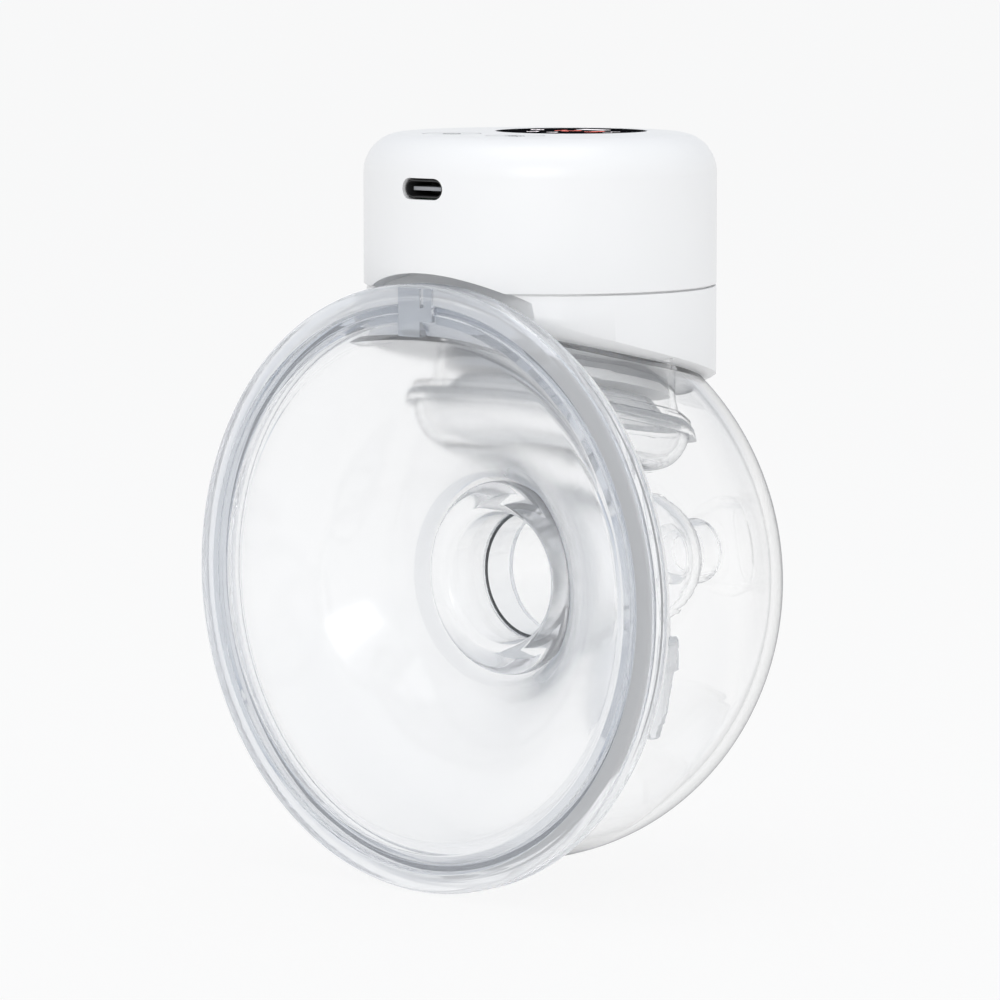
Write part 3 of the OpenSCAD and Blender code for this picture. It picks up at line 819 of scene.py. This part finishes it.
def upper_housing():
    groove_top = PARTING_Z + SEAM / 2
    skin = [
        (0, PARTING_Z),
        (SEAM_R, PARTING_Z),
        (SEAM_R, groove_top),
        (MOTOR_R, groove_top, 0.2),
        (MOTOR_R, TOP_Z, TOP_ROUND),
        (0, TOP_Z),
    ]
    ceiling = TOP_Z - HOUSING_WALL
    hollow = [
        (0, PARTING_Z - 1),
        (INNER_R, PARTING_Z - 1),
        (INNER_R, ceiling, TOP_ROUND - HOUSING_WALL),
        (0, ceiling),
    ]
    window = move(0, WINDOW_Y, 0)
    ob = lathe("upper_housing_skin", rounded(skin, 20), "Z", ON_MOTOR, FINE)
    room = lathe("room", rounded(hollow, 12), "Z", ON_MOTOR, segments=192)
    combine(ob, combine(room, scoop(SCOOP_WALL)))
    combine(ob, scoop())
    combine(ob, rod("window", WINDOW_R + 0.1, TOP_Z - WINDOW_T - 0.1, TOP_Z + 4, "Z", window, ROUND))
    combine(ob, rod("ledge", WINDOW_LEDGE_R, TOP_Z - 10, TOP_Z, "Z", window))
    for side in (-1, 1):
        at = move(side * BUTTON_X, BUTTON_Y, 0)
        combine(ob, rod("button", BUTTON_R + 0.2, TOP_Z - 5, TOP_Z + 4, "Z", at))
    combine(ob, prism("slot", obround(*USB_SLOT), -2, 6, "Y", move(0, MOTOR_Y - MOTOR_R, USB_Z)))
    soften(ob, 0.16)
    piece(ob, "motor_unit", WHITE, ["upper_housing"], 30)


def lower_housing():
    groove_bottom = PARTING_Z - SEAM / 2
    skin = [
        (0, 20),
        (MOTOR_R, 20),
        (MOTOR_R, groove_bottom, 0.2),
        (SEAM_R, groove_bottom),
        (SEAM_R, PARTING_Z),
        (0, PARTING_Z),
    ]
    wide = MOTOR_R + 1
    over_slant = [(0, 0), (wide, 0, BOTTOM_ROUND), (wide, 60), (0, 60)]
    ob = lathe("lower_housing_skin", rounded(skin), "Z", ON_MOTOR, FINE)
    combine(ob, lathe("over_slant", rounded(over_slant, 16), "Z", ON_SLANT, WIDE), "INTERSECT")
    room = rod("room", INNER_R, 0, 120, "Z", ON_MOTOR, ROUND)
    combine(room, prism("floor", rectangle(-90, -90, 90, 90), -90, FLOOR_T, "Z", ON_SLANT))
    combine(room, scoop(SCOOP_WALL))
    combine(ob, room)
    well_bottom = BOSS_WALL - BOSS_DROP
    combine(ob, rod("boss", BOSS_R, -BOSS_DROP, 1, "Z", ON_CUP, SMALL), "UNION")
    combine(ob, rod("well", BOSS_R - BOSS_WALL, well_bottom, well_bottom + 6, "Z", ON_CUP, SMALL))
    combine(ob, scoop())
    for angle in SCREW_ANGLES:
        a = math.radians(angle)
        at = move(SCREW_RING_R * math.cos(a), MOTOR_Y + SCREW_RING_R * math.sin(a), 0)
        seat = underside_z(SCREW_RING_R, a) + SCREW_WELL_H
        combine(ob, rod("screw", SCREW_WELL_R, 0, seat, "Z", at, segments=32))
    notch = rectangle(MOTOR_R - NOTCH_DEPTH, -NOTCH_W / 2, MOTOR_R + 1.8, NOTCH_W / 2)
    for angle in NOTCH_ANGLES:
        a = math.radians(angle)
        z = underside_z(MOTOR_R, a)
        turn = ON_MOTOR @ Matrix.Rotation(a, 4, "Z")
        combine(ob, prism("notch", notch, z - NOTCH_RISE, z + NOTCH_RISE, "Z", turn))
    soften(ob, 0.14)
    piece(ob, "motor_unit", WHITE, ["lower_housing"], 30)


# ---- Controls ----

# Thickness of the display's lit marks and of the buttons' printed ones
MARK_T = 0.035
PRINT_T = 0.04


def flat_mark(name, outlines, z, thickness, material, body, at):
    """Printed or lit mark on a top face, from closed (x, y) outlines about a point."""
    bm = bmesh.new()
    for outline in outlines:
        placed = [(x + at[0], y + at[1]) for x, y in outline]
        add_prism(bm, placed, z, z + thickness, "Z")
    piece(mesh_object(name, bm), body, material, None)


def stroke(points, width, closed=False):
    """Outlines of short bars that draw a line of the given width. They overlap a little at its corners."""
    out = []
    following = points[1:] + points[:1] if closed else points[1:]
    for a, b in zip(points, following):
        direction = (Vector(b) - Vector(a)).normalized()
        start = Vector(a) - direction * width / 4
        end = Vector(b) + direction * width / 4
        side = Vector((-direction.y, direction.x)) * width / 2
        out.append([start - side, end - side, end + side, start + side])
    return out


# Ends of the seven bars, in widths and half heights of a digit
BARS = {
    "a": ((0, 2), (1, 2)),
    "b": ((1, 1), (1, 2)),
    "c": ((1, 0), (1, 1)),
    "d": ((0, 0), (1, 0)),
    "e": ((0, 0), (0, 1)),
    "f": ((0, 1), (0, 2)),
    "g": ((0, 1), (1, 1)),
}
DIGITS = {"1": "bc", "2": "abdeg", "3": "abcdg"}


def digit(char, x):
    """Outlines of the pointed bars of a digit that starts at x."""
    out = []
    half = DIGIT_BAR / 2
    for name in DIGITS[char]:
        ends = [Vector((x + u * DIGIT_W, (v - 1) * DIGIT_H / 2)) for u, v in BARS[name]]
        along = (ends[1] - ends[0]).normalized()
        side = Vector((-along.y, along.x)) * half
        a = ends[0] + along * DIGIT_BAR * 0.6
        b = ends[1] - along * DIGIT_BAR * 0.6
        out.append([a - along * half, a - side, b - side, b + along * half, b + side, a + side])
    return out


def display_icons():
    """Outlines of the small signs round the digits."""
    clock = (-8.2, 0)
    marks = stroke(arc(clock, 1.1, 0, 342, 18), 0.28)
    marks += stroke([clock, (-8.2, 0.75)], 0.24)
    marks += stroke([clock, (-7.7, 0)], 0.24)
    for k in range(4):
        x = -2.6 + 1.35 * k
        marks.append(rectangle(x, 5.6, x + 1.0, 7.0))
    marks += stroke(rectangle(-3.1, 5.2, 3.0, 7.4), 0.22, True)
    marks += stroke([(9.0, -1.6), (9.9, -0.4), (9.0, 0.8), (9.9, 2.0)], 0.26)
    marks += stroke(arc((-3.2, -7.0), 1.0, 200, 520, 16), 0.26)
    marks += stroke([(1.0, -7.9), (2.0, -6.1), (3.0, -7.9)], 0.26, True)
    return marks


def display():
    glass_bottom = TOP_Z - WINDOW_T
    glass_top = TOP_Z - 0.02
    glass = [(0, glass_bottom), (WINDOW_R, glass_bottom), (WINDOW_R, glass_top, 0.2), (0, glass_top)]
    at = (0, WINDOW_Y)
    window = lathe("display_glass", rounded(glass), "Z", move(0, WINDOW_Y, 0))
    piece(window, "motor_unit", GLASS_BLACK, ["display_window"])
    digits = digit("1", -4.4) + digit("2", -0.9) + digit("3", 4.6)
    z = glass_top - 0.01
    flat_mark("display_digits", digits, z, MARK_T, RED_LIGHT, "motor_unit", at)
    flat_mark("display_icons", display_icons(), z, MARK_T, WHITE_LIGHT, "motor_unit", at)


def buttons():
    top = TOP_Z - 0.05
    loop = [
        (0, 73.5),
        (1.8, 73.5),
        (1.8, TOP_Z - 3.9),
        (6.05, TOP_Z - 3.9),
        (6.05, TOP_Z - 2.7),
        (BUTTON_R, TOP_Z - 2.7),
        (BUTTON_R, top, 0.3),
        (0, top),
    ]
    power = stroke(arc((0, 0), 1.5, 125, 415, 22), 0.34) + stroke([(0, 0.5), (0, 1.9)], 0.34)
    waves = []
    for y in (-0.9, 0.0, 0.9):
        waves += stroke([(-1.6 + 0.2 * k, y + 0.32 * math.sin(k * 0.7)) for k in range(17)], 0.28)
    for name, icon, outlines, x in (
        ("power_button", "power_icon", power, -BUTTON_X),
        ("mode_button", "mode_icon", waves, BUTTON_X),
    ):
        cap = lathe(name + "_cap", rounded(loop), "Z", move(x, BUTTON_Y, 0), COARSE)
        piece(cap, name, BUTTON_WHITE, [name])
        flat_mark(icon, outlines, top - 0.01, PRINT_T, PRINT, name, (x, BUTTON_Y))


def socket():
    wall_y = USB_DEPTH - 1
    at = move(0, USB_FRONT_Y, USB_Z)
    shell = prism("usb_c_shell", obround(*USB_SHELL), 0, USB_DEPTH, "Y", at)
    combine(shell, prism("bore", obround(*USB_BORE), -1, wall_y, "Y", at))
    soften(shell, 0.08)
    piece(shell, "motor_unit", BLACK, ["usb_c_socket"])
    tongue = prism("usb_c_tongue_bar", rectangle(-3.3, -0.35, 3.3, 0.35), 0.9, wall_y, "Y", at)
    soften(tongue, 0.12)
    piece(tongue, "motor_unit", CONTACT, ["usb_c_tongue"])


shield()
collector()
connector()
diaphragm()
valve()
upper_housing()
lower_housing()
display()
buttons()
socket()

CARRIED = {
    "display_module": DARK,
    "button_switches": BLACK,
    "circuit_board": GREEN,
    "board_chips": BLACK,
    "board_screws": STEEL,
    "battery": BATTERY,
    "battery_pad": DARK,
    "pump_cradle": DARK,
    "motor_can": STEEL,
    "motor_end_cap": BLACK,
    "motor_rotor": COPPER,
    "pump_eccentric": IVORY,
    "pump_head": DARK,
    "pump_head_cover": IVORY,
    "pump_dampers": BLACK,
    "valve_coil": COPPER,
    "valve_frame": STEEL,
    "valve_plunger": STEEL,
    "air_manifold": IVORY,
    "air_tube": HOSE,
    "seal_ring": RUBBER,
    "housing_screws": STEEL,
}
for name, material in CARRIED.items():
    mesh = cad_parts[name].data
    mesh.materials.clear()
    mesh.materials.append(material)


# ---- Stage, lights and camera ----

# Brightness of the backdrop and of the floor, and the share of the floor that takes shadows
BACKDROP = 0.947
FLOOR_GLOW = 0.972
FLOOR_BODY = 0.1
FLOOR_GAP = 0.3
# Colours of the sky that lights the pump, at heights from 0 straight below to 1 overhead
SKY = [
    (0.0, (0.95, 0.95, 0.95)),
    (0.53, (0.95, 0.95, 0.95)),
    (0.66, (0.66, 0.68, 0.71)),
    (1.0, (0.7, 0.72, 0.75)),
]


def floor():
    bm = bmesh.new()
    bmesh.ops.create_circle(bm, cap_ends=True, radius=40.0, segments=COARSE)
    ob = mesh_object("floor", bm)
    ob.location = (0, 0, -(RIM_R + FLOOR_GAP) * MM)
    mat, tree, out = new_material("floor")
    light = node(tree, "ShaderNodeEmission", Color=(1, 1, 1, 1), Strength=FLOOR_GLOW)
    body = node(tree, "ShaderNodeBsdfDiffuse", Color=(0.9, 0.9, 0.9, 1))
    tree.links.new(mixed(tree, FLOOR_BODY, light.outputs[0], body.outputs[0]), out.inputs[0])
    ob.data.materials.append(mat)


def studio():
    """A world that is plain to the camera and graded by height for the light."""
    world = bpy.data.worlds.new("studio")
    bpy.context.scene.world = world
    world.use_nodes = True
    tree = world.node_tree
    tree.nodes.clear()
    out = tree.nodes.new("ShaderNodeOutputWorld")
    direction = tree.nodes.new("ShaderNodeTexCoord")
    parts = tree.nodes.new("ShaderNodeSeparateXYZ")
    tree.links.new(direction.outputs["Generated"], parts.inputs[0])
    height = math_node(tree, "MULTIPLY_ADD", parts.outputs["Z"], 0.5, 0.5)
    light = tree.nodes.new("ShaderNodeBackground")
    tree.links.new(ramp(tree, height, SKY), light.inputs[0])
    seen = node(tree, "ShaderNodeBackground", Color=(BACKDROP, BACKDROP, BACKDROP, 1))
    path = tree.nodes.new("ShaderNodeLightPath")
    mix = mixed(tree, path.outputs["Is Camera Ray"], light.outputs[0], seen.outputs[0])
    tree.links.new(mix, out.inputs[0])


def softbox(name, place, size, power):
    """A rectangular lamp that lights the pump and isn't seen itself."""
    aim = Vector((0, 0, 0.03))
    data = bpy.data.lights.new(name, "AREA")
    data.shape = "RECTANGLE"
    data.size = size[0]
    data.size_y = size[1]
    data.energy = power
    lamp = bpy.data.objects.new(name, data)
    bpy.context.scene.collection.objects.link(lamp)
    lamp.location = place
    lamp.rotation_mode = "QUATERNION"
    lamp.rotation_quaternion = (aim - Vector(place)).to_track_quat("-Z", "Y")
    lamp.visible_camera = False
    lamp.visible_transmission = False


floor()
studio()
softbox("key", (1.28, -1.54, 0.75), (1.1, 0.7), 10.5)
softbox("top", (0.1, -0.1, 1.1), (0.8, 0.8), 3.0)

scene = bpy.context.scene
scene.view_settings.view_transform = "Standard"
scene.cycles.transparent_max_bounces = 48
scene.cycles.max_bounces = 20
scene.cycles.transmission_bounces = 20

# The camera looks from the wearer's side, from the right and a little from above
CAMERA_TURN = math.radians(41.61)
CAMERA_RISE = math.radians(6.402)
CAMERA_DISTANCE = 918.64
CAMERA_AIM = (0, -0.96, 14.32)

camera_data = bpy.data.cameras.new("camera")
camera_data.lens = 182.9
camera_data.sensor_width = 36.0
camera_data.clip_end = 100.0
camera = bpy.data.objects.new("camera", camera_data)
scene.collection.objects.link(camera)
camera.matrix_world = (
    move(*CAMERA_AIM)
    @ Matrix.Rotation(CAMERA_TURN, 4, "Z")
    @ Matrix.Rotation(math.pi / 2 - CAMERA_RISE, 4, "X")
    @ move(0, 0, CAMERA_DISTANCE)
)
scene.camera = camera
